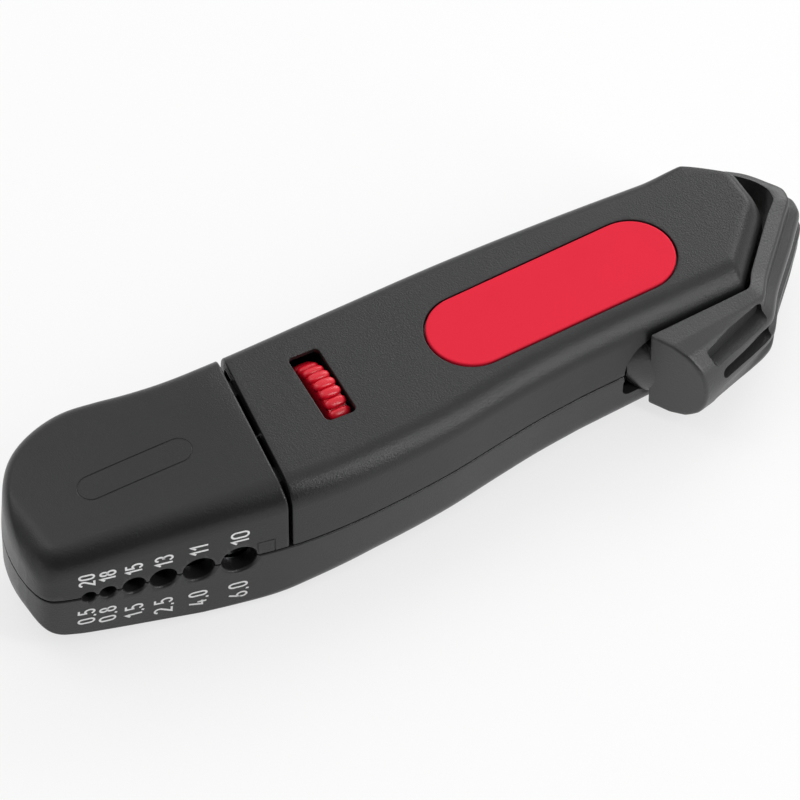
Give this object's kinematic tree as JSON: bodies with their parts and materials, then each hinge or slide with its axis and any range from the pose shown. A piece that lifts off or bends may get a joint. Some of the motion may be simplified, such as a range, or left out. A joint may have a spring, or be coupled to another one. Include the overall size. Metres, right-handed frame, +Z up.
{
  "type": "cable knife",
  "caption": "Hand tool for stripping cable: a spring-loaded bail clamps the cable over a depth-set sheath blade at one end, and a hinged jaw strips single wires at the other.",
  "frame": {"origin": "the point of the flat underside below the middle of the whole tool, with the bail closed and the jaw shut", "axes": "+X along the tool to the bail and sheath blade, +Y to the plain long side away from the wire holes and thumb rest, +Z up through the face with the red inlay"},
  "size_m": [0.1404, 0.0429, 0.0255],
  "materials": {
    "charcoal_plastic": "fine moulded grain, dark grey",
    "bail_plastic": "fine moulded grain, a little lighter grey",
    "red_plastic": "smooth matt red",
    "wheel_red": "satin red",
    "steel": "turned steel",
    "blade_steel": "ground blade steel",
    "brass": "machined brass",
    "zinc_screw": "zinc plated"
  },
  "bodies": {
    "housing": {"lower_shell": "charcoal_plastic", "upper_shell": "charcoal_plastic", "grip_inlay": "red_plastic", "lid_pin": "steel", "lid_spring": "steel", "lower_strip_blade": "blade_steel", "guide_bush": "brass", "rod_bush": "brass", "bail_spring": "steel", "housing_screw_1": "zinc_screw", "housing_screw_2": "zinc_screw", "housing_screw_3": "zinc_screw"},
    "lid": {"stripping_lid": "charcoal_plastic", "upper_strip_blade": "blade_steel"},
    "wheel": {"depth_wheel": "wheel_red"},
    "spindle": {"depth_spindle": "steel", "blade_sleeve": "brass", "sleeve_pin": "steel"},
    "blade": {"blade_post": "steel", "sheath_blade": "blade_steel", "blade_pin": "steel", "post_clip": "steel"},
    "bail": {"bail": "bail_plastic", "bail_rod": "steel", "rod_pin": "steel", "spring_washer": "steel"}
  },
  "joints": [
    {"name": "lid_hinge", "type": "hinge", "parent": "housing", "child": "lid", "pos_m": [-0.02476, 0.00168, 0.02016], "axis": [0.1616, 0.9869, -0.0039], "range_deg": [0, 10], "stiffness_Nm_per_rad": 0.05, "springref_deg": -9.74, "deforming": ["lid_spring"]},
    {"name": "wheel_turn", "type": "hinge", "parent": "housing", "child": "wheel", "pos_m": [-0.01586, 0.00315, 0.01601], "axis": [0.9972, -0.0231, -0.0705], "range_deg": [0, 1080]},
    {"name": "spindle_slide", "type": "slide", "parent": "housing", "child": "spindle", "axis": [0.9972, -0.0231, -0.0705], "range_m": [0, 0.0024]},
    {"name": "blade_swivel", "type": "hinge", "parent": "spindle", "child": "blade", "pos_m": [0.05286, 0.00156, 0.01115], "axis": [0.9972, -0.0231, -0.0705], "range_deg": [0, 90]},
    {"name": "bail_slide", "type": "slide", "parent": "housing", "child": "bail", "axis": [0.9997, 0, -0.0244], "range_m": [0, 0.024], "stiffness_N_per_m": 250, "springref_m": -0.02, "deforming": ["bail_spring"]}
  ],
  "couplings": [
    {"joint": "wheel_turn", "follows": "spindle_slide", "rad_per_m": 7853.9}
  ]
}
